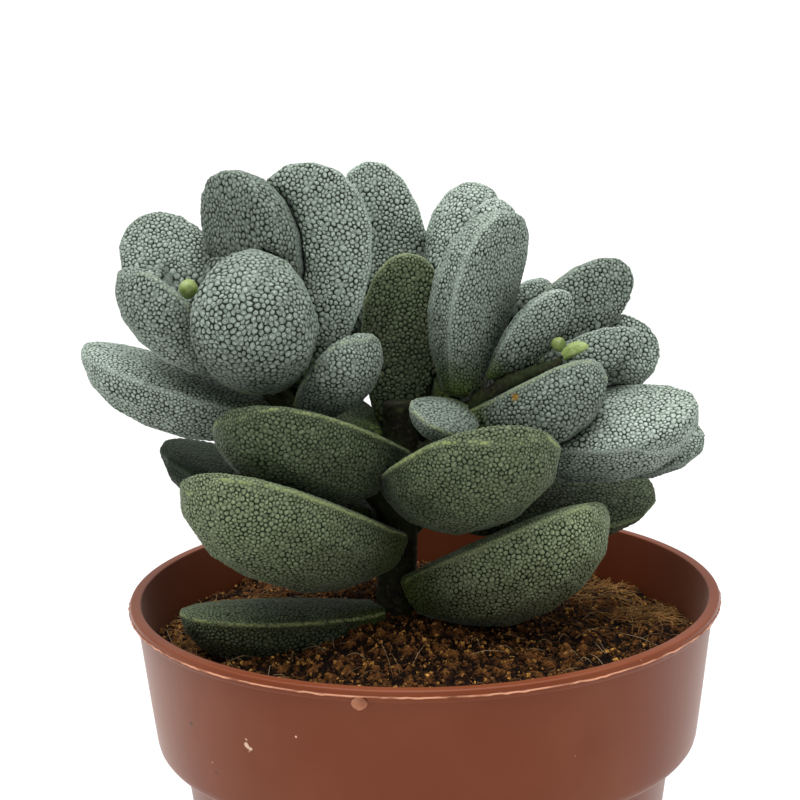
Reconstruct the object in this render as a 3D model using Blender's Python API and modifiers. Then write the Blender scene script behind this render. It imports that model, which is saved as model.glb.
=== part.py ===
"""A potted crassula: a turned plastic nursery pot, a mound of coir soil, a branching
fleshy stem, and the leaves, each a separate solid that ends on the stem.

Units are metres, +Z is up, and the origin is the centre of the pot's base."""

import math

import bmesh
import bpy
from mathutils import Matrix, Vector, noise
from mathutils.bvhtree import BVHTree

MM = 0.001
GAP = 0.3 * MM
MERGE = 0.002 * MM
SHARP_ANGLE = math.radians(40)

# Driving dimensions of the pot
POT_HEIGHT = 71 * MM
RIM_RADIUS = 42.5 * MM
WALL = 1.0 * MM
FLOOR = 1.4 * MM
LIP_WIDTH = 1.9 * MM
LIP_DEPTH = 1.7 * MM
LIP_ROUND = 0.4 * MM
LIP_STEP = 1.4 * MM
COLLAR_DEPTH = 21.4 * MM
SHOULDER_RADIUS = 39.5 * MM
SHOULDER_HEIGHT = 5.6 * MM
SHOULDER_TURN = 1.6 * MM
BODY_TOP_RADIUS = 35.4 * MM
BODY_STEP = 0.3 * MM
BASE_RADIUS = 29 * MM
BASE_ROUND = 0.8 * MM
POT_STEPS = 38
DRAIN_HOLES = 6
DRAIN_SIDES = 12
DRAIN_RADIUS = 2.6 * MM
DRAIN_CIRCLE = 19 * MM

# Driving dimensions of the soil, whose lumps are given in lumps a metre
SOIL_EDGE_DROP = 7.8 * MM
SOIL_MOUND_RISE = 4.4 * MM
MOUND_CENTRE = Vector((-4 * MM, 0))
SOIL_RELIEF = 0.7 * MM
SOIL_LUMPS = 160
SOIL_STEPS = 32
SOIL_RINGS = 8
PRESSED_LEAVES = ["floor_front_left", "low_front_right"]

# Leaves: how many faces go round and along one, and the form they all share
LEAF_SIDES = (12, 9)
SMALL_LEAF_SIDES = (8, 6)
SMALL_LEAF = 15 * MM
WIDEST_AT = 0.6
DEEPEST_AT = 0.5
BASE_SHARE = 0.45
BASE_DEPTH = 0.45
MARGIN_POWER = 1.1
UPPER_SHARE = 0.16
CURL_PIVOT = 0.35
LEAF_FOCUS = 15 * MM
LEAF_START = 2.0 * MM

# Stems: how many steps lie between two of a centre line's points, and for each stem the
# radius at its root and at its growing tip and the points, all in millimetres
STEM_STEPS = 2
STEMS = {
    "trunk": (3.4, 2.6, [(-4, 2, 52), (-4, 2, 72), (-3, 2, 88), (-3, 3, 98)]),
    "left": (2.4, 1.0, [(-4, 2, 82), (-13, 0, 93), (-21, -2, 101), (-27, -3, 108), (-31, -4, 114.5)]),
    "right": (2.4, 1.0, [(-2, 2, 84), (3, 1, 92.5), (9, 0, 98.5), (15, -1.5, 102), (20, -2.5, 104)]),
    "back": (2.4, 1.2, [(-3, 3, 84), (-1, 11, 94), (2, 18, 102), (5, 22, 112)]),
}

# Each leaf: name, place along its stem (0 at the root, 1 at the growing tip), azimuth
# (0 points to +X, 90 to +Y) and elevation in degrees, length, width and depth in
# millimetres, curl towards its upper face and twist about its own length in degrees
LEAVES = {
    "trunk": [
        ("low_front_left", 0.55, -137, 23, 39, 21.5, 12, 18, 13),
        ("low_front_right", 0.40, -16, 24, 33.5, 22.5, 13, 10, -14),
        ("floor_front_left", 0.34, -162, 4, 32, 17.5, 10, 5, 4),
        ("mid_front_right", 0.74, -55, 21, 31.5, 22.5, 10.5, 34, -10),
        ("mid_front_left", 0.81, -136, 20, 33, 20, 10, 20, 16),
        ("low_back_left", 0.64, 160, 11, 38, 18, 9.5, 14, -2),
        ("low_back_right", 0.71, 20, -5, 40.5, 18.5, 9, 4, 32),
        ("mid_back_left", 0.86, 140, 16, 30, 18, 10, 15, 0),
        ("mid_back_right", 0.80, 53, 14, 32, 18, 10, 15, 0),
        ("low_back", 0.60, 98, 6, 30, 17, 9, 15, 0),
    ],
    "left": [
        ("left_outer", 0.47, 168, 16, 33, 17, 10, 6, 24),
        ("left_round_front", 0.63, -113, 58, 21.5, 19, 13.5, 28, 4),
        ("left_side", 0.70, -149, 40, 24, 13.5, 7, 23, -16),
        ("left_back_low", 0.79, 137, 43, 25, 13.5, 8, 8, 15),
        ("left_top_front", 0.70, 115, 81, 28, 19, 10, 27, 10),
        ("left_top_back", 0.53, 36, 80, 34, 19.5, 9.5, 10, 60),
        ("left_small_right", 0.48, -38, 44, 17.5, 12.5, 6.5, 25, -35),
        ("left_back_outer", 0.52, 100, 16, 23, 15, 9, 15, 0),
        ("left_inner_side", 0.83, 156, 34, 16, 11, 5.5, 7, 2),
        ("left_inner_right", 0.93, 47, 55, 10.5, 10.5, 5.5, 8, 12),
        ("left_tip_a", 0.95, -160, 60, 5, 3, 2, 10, 0),
        ("left_tip_b", 0.95, 20, 60, 5, 3, 2, 10, 0),
    ],
    "right": [
        ("right_tall", 0.49, 18, 78, 29.5, 17, 9.5, 23, -19),
        ("right_front", 0.42, -16, 21, 23, 11, 9, 35, 0),
        ("right_inner", 0.60, 6, 51, 19, 8, 5, 6, -30),
        ("right_outer", 0.50, -5, -1, 32.5, 15.5, 12, 28, 8),
        ("right_top", 0.66, 30, 35, 27.5, 11, 8, 17, -13),
        ("right_small_left", 0.55, -116, 5, 17.5, 9, 4.5, 4, 35),
        ("right_small", 0.74, 12, 16, 20, 6.5, 5.5, 20, 0),
        ("right_behind", 0.75, 30, 8, 25, 12.5, 8, 9, -8),
        ("right_outer_back", 0.47, 11, -9, 36, 15.5, 8.5, 11, -2),
        ("right_back_low", 0.43, 75, 12, 26, 15, 9, 15, 0),
        ("right_tip_a", 0.93, -10, 30, 6.5, 2.5, 2, 10, 0),
        ("right_tip_b", 0.97, 60, 62, 4, 3, 2, 10, 0),
    ],
    "back": [
        ("centre_upright", 0.13, 79, 83, 31, 13, 7.5, 17, 226),
        ("back_left", 0.48, 140, 73, 35, 14, 8, 21, -100),
        ("back_right", 0.67, 32, 70, 26.5, 12, 8, 10, 1),
        ("back_right_far", 0.64, 8, 64, 26, 12, 7.5, 7, 1),
        ("back_right_low", 0.55, 1, 36, 23.5, 13, 8, 11, -2),
        ("back_outer", 0.58, 95, 8, 26, 18, 11, 15, 0),
        ("back_side_left", 0.70, 150, 24, 24, 15, 9, 15, 0),
        ("back_inner", 0.82, 100, 40, 18, 12, 7, 15, 0),
        ("back_tip", 0.95, 170, 60, 5, 3, 2, 10, 0),
    ],
}


def clear_scene():
    for old in list(bpy.data.objects):
        bpy.data.objects.remove(old, do_unlink=True)


def collection(name):
    made = bpy.data.collections.new(name)
    bpy.context.scene.collection.children.link(made)
    return made


def material(name, colour, roughness):
    made = bpy.data.materials.new(name)
    made.use_nodes = True
    shader = made.node_tree.nodes["Principled BSDF"]
    shader.inputs["Base Color"].default_value = (*colour, 1)
    shader.inputs["Roughness"].default_value = roughness
    return made


def new_object(name, mesh, where, look):
    made = bpy.data.objects.new(name, mesh)
    mesh.materials.clear()
    mesh.materials.append(look)
    where.objects.link(made)
    return made


def as_cutter(piece):
    """Keeps a piece out of renders, as a wire guide that only cuts."""
    piece.hide_render = True
    piece.display_type = "WIRE"
    return piece


def evaluated_mesh(piece):
    graph = bpy.context.evaluated_depsgraph_get()
    return bpy.data.meshes.new_from_object(piece.evaluated_get(graph))


def pieces_of(shape):
    """The separate bodies of a bmesh, each as a set of its vertices, largest first."""
    left = set(shape.verts)
    bodies = []
    while left:
        front = [left.pop()]
        body = set(front)
        while front:
            vert = front.pop()
            near = {e.other_vert(vert) for e in vert.link_edges} & left
            front += near
            body |= near
            left -= near
        bodies.append(body)
    return sorted(bodies, key=len, reverse=True)


def bake(piece):
    """Applies a piece's modifiers and keeps its main body, as closed triangles."""
    mesh = evaluated_mesh(piece)
    shape = bmesh.new()
    shape.from_mesh(mesh)
    bmesh.ops.remove_doubles(shape, verts=shape.verts, dist=MERGE)
    for scrap in pieces_of(shape)[1:]:
        bmesh.ops.delete(shape, geom=list(scrap), context="VERTS")
    bmesh.ops.triangulate(shape, faces=shape.faces)
    shape.to_mesh(mesh)
    shape.free()
    mesh.shade_smooth()
    mesh.set_sharp_from_angle(angle=SHARP_ANGLE)
    piece.modifiers.clear()
    piece.data = mesh
    return piece


def swollen(piece, where):
    """A copy of a piece that stands out by the gap all round, to cut its neighbours with."""
    made = bpy.data.objects.new(piece.name + "_cutter", piece.data.copy())
    made.matrix_world = piece.matrix_world
    where.objects.link(made)
    swell = made.modifiers.new("gap", "DISPLACE")
    swell.mid_level = 0
    swell.strength = GAP
    return as_cutter(made)


def tree_of(piece):
    """A search tree of a piece's evaluated faces, in world space."""
    mesh = evaluated_mesh(piece)
    mesh.transform(piece.matrix_world)
    tree = BVHTree.FromPolygons([v.co for v in mesh.vertices], [p.vertices for p in mesh.polygons])
    bpy.data.meshes.remove(mesh)
    return tree


def cut(piece, cutter, solver="EXACT"):
    boolean = piece.modifiers.new("cut_by_" + cutter.name, "BOOLEAN")
    boolean.operation = "DIFFERENCE"
    boolean.object = cutter
    boolean.solver = solver


def is_closed(piece):
    shape = bmesh.new()
    shape.from_mesh(piece.data)
    closed = len(shape.faces) > 0 and all(e.is_manifold for e in shape.edges)
    shape.free()
    return closed


def press_in(leaf, cutter):
    """Cuts a neighbour's form out of a leaf, by the second solver where the first leaves it open."""
    whole = leaf.data.copy()
    for solver in ("EXACT", "MANIFOLD"):
        leaf.data = whole.copy()
        cut(leaf, cutter, solver)
        bake(leaf)
        if is_closed(leaf):
            return


def turned(name, profile, steps, where, look):
    """A profile of (radius, height) points turned round the Z axis into one closed solid."""
    shape = bmesh.new()
    verts = [shape.verts.new((radius, 0, height)) for radius, height in profile]
    for a, b in zip(verts, verts[1:]):
        shape.edges.new((a, b))
    mesh = bpy.data.meshes.new(name)
    shape.to_mesh(mesh)
    shape.free()
    made = new_object(name, mesh, where, look)
    screw = made.modifiers.new("turned", "SCREW")
    screw.steps = screw.render_steps = steps
    screw.use_merge_vertices = True
    screw.merge_threshold = MERGE
    return made


def smooth_line(points):
    """Points along the smooth curve that runs through the given ones."""
    ends = [2 * points[0] - points[1], *points, 2 * points[-1] - points[-2]]
    line = []
    for a, b, c, d in zip(ends, ends[1:], ends[2:], ends[3:]):
        for k in range(STEM_STEPS):
            t = k / STEM_STEPS
            bend = 2 * b + (c - a) * t + (2 * a - 5 * b + 4 * c - d) * t**2 + (3 * b - a - 3 * c + d) * t**3
            line.append(bend / 2)
    return line + [points[-1]]


def stem_line(stem):
    return smooth_line([Vector(p) * MM for p in STEMS[stem][2]])


def stem_point(line, share):
    """The point a share of the way along a stem's centre line, and the way it runs there."""
    lengths = [(b - a).length for a, b in zip(line, line[1:])]
    left = share * sum(lengths)
    for a, b, span in zip(line, line[1:], lengths):
        if left <= span:
            return a.lerp(b, left / span), (b - a).normalized()
        left -= span
    return line[-1].copy(), (line[-1] - line[-2]).normalized()


def build_stem(name, where, look, extra=0):
    """One tube for the trunk and one for each branch, which tapers to its growing tip."""
    tubes = []
    for stem, (root_radius, tip_radius, _) in STEMS.items():
        line = stem_line(stem)
        line[0] += (line[0] - line[1]).normalized() * extra
        line[-1] += (line[-1] - line[-2]).normalized() * extra
        curve = bpy.data.curves.new(stem, "CURVE")
        curve.dimensions = "3D"
        curve.bevel_depth = MM
        curve.bevel_resolution = 2
        curve.use_fill_caps = True
        spline = curve.splines.new("POLY")
        spline.points.add(len(line) - 1)
        for k, (point, place) in enumerate(zip(spline.points, line)):
            point.co = (*place, 1)
            point.radius = root_radius + (tip_radius - root_radius) * k / (len(line) - 1) + extra / MM
        guide = bpy.data.objects.new(stem, curve)
        where.objects.link(guide)
        mesh = evaluated_mesh(guide)
        bpy.data.objects.remove(guide)
        shape = bmesh.new()
        shape.from_mesh(mesh)
        bmesh.ops.remove_doubles(shape, verts=shape.verts, dist=MERGE)
        shape.to_mesh(mesh)
        shape.free()
        tubes.append(new_object(name, mesh, where, look))
    trunk = tubes[0]
    for branch in tubes[1:]:
        union = trunk.modifiers.new("branch", "BOOLEAN")
        union.operation = "UNION"
        union.object = branch
    bake(trunk)
    for branch in tubes[1:]:
        bpy.data.objects.remove(branch)
    return trunk


def leaf_half_width(along):
    if along < WIDEST_AT:
        return BASE_SHARE + (1 - BASE_SHARE) * math.sin(math.pi / 2 * along / WIDEST_AT)
    past = (along - WIDEST_AT) / (1 - WIDEST_AT)
    return math.sqrt(max(0, 1 - past**2.3))


def leaf_depth(along):
    if along < DEEPEST_AT:
        return BASE_DEPTH + (1 - BASE_DEPTH) * math.sin(math.pi / 2 * along / DEEPEST_AT)
    past = (along - DEEPEST_AT) / (1 - DEEPEST_AT)
    return max(0, 1 - past**2.4) ** 0.6


def leaf_mesh(name, length, width, depth, curl):
    """A globe whose poles are the leaf's base and tip, drawn out along +X with its upper face to +Z."""
    shape = bmesh.new()
    sides, rings = LEAF_SIDES if length > SMALL_LEAF else SMALL_LEAF_SIDES
    bmesh.ops.create_uvsphere(shape, u_segments=sides, v_segments=rings, radius=1)
    bend = math.radians(curl)
    for v in shape.verts:
        along = (1 + v.co.z) / 2
        round_it = math.atan2(v.co.y, v.co.x)
        pole = abs(v.co.z) > 0.999
        side = 0 if pole else math.cos(round_it) * width / 2 * leaf_half_width(along)
        share = UPPER_SHARE if math.sin(round_it) > 0 else 1 - UPPER_SHARE
        lens = math.copysign(abs(math.sin(round_it)) ** MARGIN_POWER, math.sin(round_it))
        rise = 0 if pole else lens * share * depth * leaf_depth(along)
        turn = bend * (along - CURL_PIVOT)
        x = length * (math.sin(turn) + math.sin(bend * CURL_PIVOT)) / bend
        z = length * (math.cos(bend * CURL_PIVOT) - math.cos(turn)) / bend
        v.co = (x - rise * math.sin(turn), side, z + rise * math.cos(turn))
    shape.normal_update()
    bmesh.ops.recalc_face_normals(shape, faces=shape.faces)
    bmesh.ops.triangulate(shape, faces=shape.faces)
    mesh = bpy.data.meshes.new(name)
    shape.to_mesh(mesh)
    shape.free()
    mesh.shade_smooth()
    return mesh


def build_leaves(where, look):
    """Each leaf as it would grow alone: its base just off the stem's centre line, and its upper face
    towards the growing tip."""
    made = []
    for stem, rows in LEAVES.items():
        line = stem_line(stem)
        tip, axis = stem_point(line, 1)
        for name, share, azimuth, elevation, length, width, depth, curl, twist in rows:
            base, _ = stem_point(line, share)
            a, e = math.radians(azimuth), math.radians(elevation)
            out = Vector((math.cos(a) * math.cos(e), math.sin(a) * math.cos(e), math.sin(e)))
            facing = tip + axis * LEAF_FOCUS - base - out * length * MM / 2
            up = (facing - out * facing.dot(out)).normalized()
            up = Matrix.Rotation(math.radians(twist), 3, out) @ up
            across = up.cross(out)
            mesh = leaf_mesh(name, length * MM - LEAF_START, width * MM, depth * MM, curl)
            leaf = new_object("leaf_" + name, mesh, where, look)
            turn = Matrix((out, across, up)).transposed().to_4x4()
            leaf.matrix_world = Matrix.Translation(base + out * LEAF_START) @ turn
            made.append(leaf)
    return made


def trim_leaves(leaves, stem_cutter, where):
    """Ends each leaf at the stem, and presses it in where a leaf that comes before it lies."""
    earlier = [(stem_cutter, tree_of(stem_cutter))]
    for leaf in leaves:
        own_cutter = swollen(leaf, where)
        bpy.context.view_layer.update()
        own_tree = tree_of(own_cutter)
        for cutter, tree in earlier:
            if own_tree.overlap(tree):
                press_in(leaf, cutter)
        earlier.append((own_cutter, own_tree))


def pot_outside():
    collar = POT_HEIGHT - COLLAR_DEPTH
    return [
        (RIM_RADIUS - LIP_WIDTH + LIP_ROUND, POT_HEIGHT),
        (RIM_RADIUS - LIP_ROUND, POT_HEIGHT),
        (RIM_RADIUS, POT_HEIGHT - LIP_ROUND),
        (RIM_RADIUS, POT_HEIGHT - LIP_DEPTH + LIP_ROUND),
        (RIM_RADIUS - LIP_STEP, POT_HEIGHT - LIP_DEPTH),
        (SHOULDER_RADIUS, collar + SHOULDER_HEIGHT),
        (SHOULDER_RADIUS - SHOULDER_TURN * 0.3, collar + SHOULDER_HEIGHT * 0.5),
        (SHOULDER_RADIUS - SHOULDER_TURN * 0.68, collar + SHOULDER_HEIGHT * 0.18),
        (SHOULDER_RADIUS - SHOULDER_TURN, collar),
        (BODY_TOP_RADIUS, collar - BODY_STEP),
        (BASE_RADIUS, BASE_ROUND),
        (BASE_RADIUS - BASE_ROUND, 0),
        (0, 0),
    ]


def pot_inside(gap=0):
    """The inner wall from the floor's centre up, or the same line a gap further in."""
    collar = POT_HEIGHT - COLLAR_DEPTH
    inset = WALL + gap
    return [
        (0, FLOOR + gap),
        (BASE_RADIUS - inset, FLOOR + gap),
        (BODY_TOP_RADIUS - inset, collar - BODY_STEP),
        (SHOULDER_RADIUS - SHOULDER_TURN - inset, collar + WALL),
        (SHOULDER_RADIUS - SHOULDER_TURN * 0.3 - inset, collar + SHOULDER_HEIGHT * 0.5 + WALL / 2),
        (SHOULDER_RADIUS - inset, collar + SHOULDER_HEIGHT + WALL / 2),
    ]


def build_pot(where, cutters, look):
    lip = [(RIM_RADIUS - LIP_WIDTH, POT_HEIGHT - LIP_ROUND)]
    pot = turned("pot", pot_inside() + lip + pot_outside(), POT_STEPS, where, look)
    for k in range(DRAIN_HOLES):
        angle = math.tau * (k + 0.5) / DRAIN_HOLES
        hole = bmesh.new()
        bmesh.ops.create_cone(
            hole,
            cap_ends=True,
            segments=DRAIN_SIDES,
            radius1=DRAIN_RADIUS,
            radius2=DRAIN_RADIUS,
            depth=4 * FLOOR,
        )
        mesh = bpy.data.meshes.new("drain_hole")
        hole.to_mesh(mesh)
        hole.free()
        drill = bpy.data.objects.new("drain_hole", mesh)
        cutters.objects.link(drill)
        drill.location = (DRAIN_CIRCLE * math.cos(angle), DRAIN_CIRCLE * math.sin(angle), 0)
        cut(pot, as_cutter(drill))
    return bake(pot)


def soil_height(place):
    """The height of the soil's mound over a place, with the crumbs' relief left flat at the wall."""
    reach = RIM_RADIUS - LIP_WIDTH
    off = (place.xy - MOUND_CENTRE).length / reach
    mound = SOIL_MOUND_RISE * (0.5 + 0.5 * math.cos(math.pi * min(1, off)))
    lumps = noise.noise(place * SOIL_LUMPS) + 0.6 * noise.noise(place * SOIL_LUMPS * 2.3)
    return POT_HEIGHT - SOIL_EDGE_DROP + mound + SOIL_RELIEF * lumps


def build_soil(where, stem, pressing, look):
    """The soil fills the pot, with the stem in a plain hole and the lowest leaf pressed in."""
    wall = [p for p in pot_inside(GAP) if p[1] < POT_HEIGHT - SOIL_EDGE_DROP - SOIL_RELIEF * 2]
    edge = wall[-1][0]
    top = [(edge * k / SOIL_RINGS, POT_HEIGHT) for k in range(SOIL_RINGS + 1)]
    soil = turned("soil", top + wall[::-1], SOIL_STEPS, where, look)
    bake(soil)
    for v in soil.data.vertices:
        if v.co.z > POT_HEIGHT - MERGE:
            v.co.z = soil_height(Vector((v.co.x, v.co.y, 0)))
    for cutter in [stem, *pressing]:
        cut(soil, cutter)
    return bake(soil)


clear_scene()
plant = collection("potted_crassula")
cutters = collection("cutters")
leaf_green = material("leaf", (0.28, 0.36, 0.3), 0.7)
stem_green = material("stem", (0.24, 0.25, 0.13), 0.7)
coir_brown = material("soil", (0.16, 0.08, 0.035), 0.95)
terracotta = material("pot", (0.36, 0.15, 0.09), 0.4)
stem = build_stem("stem", plant, stem_green)
stem_cutter = as_cutter(build_stem("stem_cutter", cutters, stem_green, GAP))
leaves = build_leaves(plant, leaf_green)
trim_leaves(leaves, stem_cutter, cutters)
pot = build_pot(plant, cutters, terracotta)
pressing = [cutters.objects["leaf_" + name + "_cutter"] for name in PRESSED_LEAVES]
soil = build_soil(plant, stem_cutter, pressing, coir_brown)
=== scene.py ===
"""The looks of a potted crassula: leaves covered in pale waxy grains round a short branching
stem, in coir soil, in a moulded plastic nursery pot. Units are metres, +Z is up, and the
origin is the centre of the pot's base."""

import math

import bmesh
import bpy
import numpy as np
from mathutils import Matrix, Vector, noise
from mathutils.bvhtree import BVHTree
from mathutils.kdtree import KDTree


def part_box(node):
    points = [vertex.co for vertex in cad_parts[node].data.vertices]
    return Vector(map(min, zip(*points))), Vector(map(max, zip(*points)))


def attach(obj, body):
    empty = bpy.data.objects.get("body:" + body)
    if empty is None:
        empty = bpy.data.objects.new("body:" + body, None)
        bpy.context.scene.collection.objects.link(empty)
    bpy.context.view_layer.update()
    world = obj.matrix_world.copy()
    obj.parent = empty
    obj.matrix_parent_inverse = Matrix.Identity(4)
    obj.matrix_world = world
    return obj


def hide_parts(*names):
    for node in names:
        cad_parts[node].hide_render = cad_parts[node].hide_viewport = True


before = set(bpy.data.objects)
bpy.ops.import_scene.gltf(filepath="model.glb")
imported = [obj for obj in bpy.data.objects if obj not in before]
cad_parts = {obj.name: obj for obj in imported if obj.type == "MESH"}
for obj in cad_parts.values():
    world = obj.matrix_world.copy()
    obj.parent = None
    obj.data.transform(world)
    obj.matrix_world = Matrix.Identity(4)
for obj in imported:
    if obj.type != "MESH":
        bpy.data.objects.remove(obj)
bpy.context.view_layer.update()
MM = 0.001

# The camera. It stands where the photograph's camera stood, worked out from the ellipse of
# the pot's rim: a little above the plant, close by, with a long lens and a slight roll.
# The picture is square, so one focal length in pixels gives the lens on a 36 mm sensor.
EYE_ELEVATION = math.radians(17.97)
EYE_DISTANCE = 300 * MM
EYE_TURNS_ABOUT = Vector((0, 0, 70 * MM))
EYE_AIM = Vector((-2.88 * MM, 0, 98.66 * MM))
EYE_ROLL = math.radians(-1.26)
FOCAL_PIXELS = 2075.8
PICTURE_PIXELS = 800
SENSOR_WIDTH = 36
NEAREST_SEEN = 10 * MM
UP = Vector((0, 0, 1))


def placement(at, x_way, y_way, z_way):
    """The matrix that sets an object at a place, with its axes pointing these ways."""
    return Matrix.Translation(at) @ Matrix((x_way, y_way, z_way)).transposed().to_4x4()


eye = EYE_TURNS_ABOUT + EYE_DISTANCE * Vector((0, -math.cos(EYE_ELEVATION), math.sin(EYE_ELEVATION)))
look = (EYE_AIM - eye).normalized()
level = look.cross(UP).normalized()
upright = level.cross(look)
camera_x = level * math.cos(EYE_ROLL) + upright * math.sin(EYE_ROLL)
camera_y = upright * math.cos(EYE_ROLL) - level * math.sin(EYE_ROLL)
bpy.ops.object.camera_add()
camera = bpy.context.object
camera.name = "camera"
camera.matrix_world = placement(eye, camera_x, camera_y, -look)
camera.data.sensor_width = SENSOR_WIDTH
camera.data.lens = FOCAL_PIXELS / PICTURE_PIXELS * SENSOR_WIDTH
camera.data.clip_start = NEAREST_SEEN
bpy.context.scene.camera = camera


def sight(pixel):
    """The way that the camera looks through a pixel of the photograph."""
    across = pixel[0] - PICTURE_PIXELS / 2
    down = pixel[1] - PICTURE_PIXELS / 2
    return (look * FOCAL_PIXELS + camera_x * across - camera_y * down).normalized()


# The pot. It is one thin shell of terracotta polypropylene, pressed in a two-part mould: a
# narrow lip, a deep collar, a rounded shoulder and a tapering body with six drain holes.
# Its half outline is drawn up as rings of points, and each ring is extruded from the last.
POT_SIDES = 340
CORNER_STEPS = 4
POT_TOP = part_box("pot")[1].z
RIM_RADIUS = 42.1 * MM
LIP_WIDTH = 1.6 * MM
LIP_ROUND = 0.35 * MM
LIP_BOTTOM = POT_TOP - 1.7 * MM
LIP_TAPER = 0.25 * MM
LIP_STEP = 0.05 * MM
FLASH_HEIGHT = POT_TOP - 0.85 * MM
FLASH_OUT = 0.12 * MM
FLASH_THICK = 0.16 * MM
FLASH_ROOT = 0.1 * MM
WALL_TOP_RADIUS = 41.1 * MM
WALL = 1.0 * MM
SHOULDER_RADIUS = 39.5 * MM
SHOULDER_TOP = 55.2 * MM
SHOULDER_ROUND = 2.5 * MM
INNER_SHOULDER_ROUND = 3 * MM
COLLAR_BOTTOM = 49.6 * MM
COLLAR_BOTTOM_RADIUS = 38.8 * MM
COLLAR_ROUND = 1.5 * MM
INNER_COLLAR_ROUND = 1.4 * MM
BODY_TOP_RADIUS = 35.4 * MM
BODY_TOP = 49.3 * MM
INNER_BODY_ROUND = 0.8 * MM
CREASE_ROUND = 0.25 * MM
EDGE_ROUND = 0.2 * MM
BASE_RADIUS = 29 * MM
BASE_ROUND = 0.8 * MM
FLOOR = 1.4 * MM
FOOT_RADIUS = 26.5 * MM
FOOT_DEPTH = 0.3 * MM


def rounded(outline, steps):
    """An outline of (radius, height, rounding) points with each corner made an arc that
    starts its rounding away."""
    line = [Vector(outline[0][:2])]
    for before, at, after in zip(outline, outline[1:], outline[2:]):
        corner, size = Vector(at[:2]), at[2]
        if size == 0:
            line.append(corner)
            continue
        start = corner + (Vector(before[:2]) - corner).normalized() * size
        end = corner + (Vector(after[:2]) - corner).normalized() * size
        for k in range(steps + 1):
            t = k / steps
            line.append(start * (1 - t) ** 2 + corner * 2 * t * (1 - t) + end * t**2)
    return line + [Vector(outline[-1][:2])]


def turned(name, line, sides):
    """A line of (radius, height) points drawn round the Z axis, ring by ring, and closed at
    the middle at both ends."""
    bpy.ops.object.select_all(action="DESELECT")
    bpy.ops.mesh.primitive_circle_add(
        vertices=sides, radius=line[0][0], fill_type="TRIFAN", location=(0, 0, line[0][1])
    )
    piece = bpy.context.object
    piece.name = piece.data.name = name
    for v in piece.data.vertices:
        v.select = v.co.xy.length > line[0][0] / 2
    bpy.ops.object.mode_set(mode="EDIT")
    bpy.ops.mesh.select_mode(type="VERT")
    for before, at in zip(line, line[1:]):
        bpy.ops.mesh.extrude_region_move(TRANSFORM_OT_translate={"value": (0, 0, at[1] - before[1])})
        wider = at[0] / before[0]
        bpy.ops.transform.resize(value=(wider, wider, 1), center_override=(0, 0, at[1]))
    bpy.ops.mesh.extrude_region_move()
    bpy.ops.mesh.merge(type="CENTER")
    bpy.ops.mesh.select_all(action="SELECT")
    bpy.ops.mesh.normals_make_consistent(inside=False)
    bpy.ops.object.mode_set(mode="OBJECT")
    bpy.ops.object.transform_apply(location=True, rotation=True, scale=True)
    return piece


pot_outline = [
    (BASE_RADIUS - WALL, FLOOR, 0),
    (BODY_TOP_RADIUS - WALL, BODY_TOP, INNER_BODY_ROUND),
    (COLLAR_BOTTOM_RADIUS - WALL, COLLAR_BOTTOM + WALL, INNER_COLLAR_ROUND),
    (SHOULDER_RADIUS - WALL, SHOULDER_TOP, INNER_SHOULDER_ROUND),
    (RIM_RADIUS - LIP_WIDTH, POT_TOP, EDGE_ROUND),
    (RIM_RADIUS - FLASH_OUT, POT_TOP, LIP_ROUND),
    (RIM_RADIUS, FLASH_HEIGHT + FLASH_THICK, 0),
    (RIM_RADIUS + FLASH_OUT, FLASH_HEIGHT + FLASH_THICK / 2, 0),
    (RIM_RADIUS + FLASH_OUT, FLASH_HEIGHT - FLASH_THICK / 2, 0),
    (RIM_RADIUS - FLASH_ROOT, FLASH_HEIGHT - FLASH_THICK, 0),
    (RIM_RADIUS - LIP_TAPER, LIP_BOTTOM, CREASE_ROUND),
    (WALL_TOP_RADIUS, LIP_BOTTOM - LIP_STEP, EDGE_ROUND),
    (SHOULDER_RADIUS, SHOULDER_TOP, SHOULDER_ROUND),
    (COLLAR_BOTTOM_RADIUS, COLLAR_BOTTOM, COLLAR_ROUND),
    (BODY_TOP_RADIUS, BODY_TOP, CREASE_ROUND),
    (BASE_RADIUS, 0, BASE_ROUND),
    (FOOT_RADIUS, 0, EDGE_ROUND),
    (FOOT_RADIUS - FOOT_DEPTH, FOOT_DEPTH, 0),
]
pot = turned("pot_shell", rounded(pot_outline, CORNER_STEPS), POT_SIDES)


def attribute(mesh, name, values):
    """Gives each point of a mesh a value, which a material can read by its name."""
    made = mesh.attributes.new(name, "FLOAT", "POINT")
    made.data.foreach_set("value", np.asarray(values, np.float32))


# The flash that the mould left on the lip: uneven all round, and longest at the left
FLASH_UNEVEN = 0.16 * MM
FLASH_SHORTEST = -0.5
FLASH_LONGEST = 0.25 * MM
FLASH_WAVES = 60
FLASH_TEETH = 190
TOOTH_SHARE = 0.6
FLASH_DROOP = 0.12 * MM
DROOP_WAVES = 25

flash = np.zeros(len(pot.data.vertices))
for k, v in enumerate(pot.data.vertices):
    out = v.co.xy.length
    if out > RIM_RADIUS + FLASH_OUT / 2:
        way = v.co.xy / out
        waves = noise.noise(Vector((*way, 0)) * FLASH_WAVES)
        ragged = waves + TOOTH_SHARE * noise.noise(Vector((*way, 1)) * FLASH_TEETH)
        longer = FLASH_UNEVEN * max(FLASH_SHORTEST, ragged) * (1.2 - 0.4 * way.x)
        new_out = min(out + longer, RIM_RADIUS + FLASH_LONGEST)
        droop = -0.5 * max(0, longer) + FLASH_DROOP * noise.noise(Vector((*way, 2)) * DROOP_WAVES)
        v.co = (way.x * new_out, way.y * new_out, v.co.z + droop)
        flash[k] = 1
attribute(pot.data, "flash", flash)

# The drain holes, drilled through the base
DRAIN_HOLES = 6
DRAIN_RADIUS = 2.6 * MM
DRAIN_CIRCLE = 19 * MM
DRAIN_SIDES = 32
POT_SMOOTH_UNDER = math.radians(35)

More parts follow.
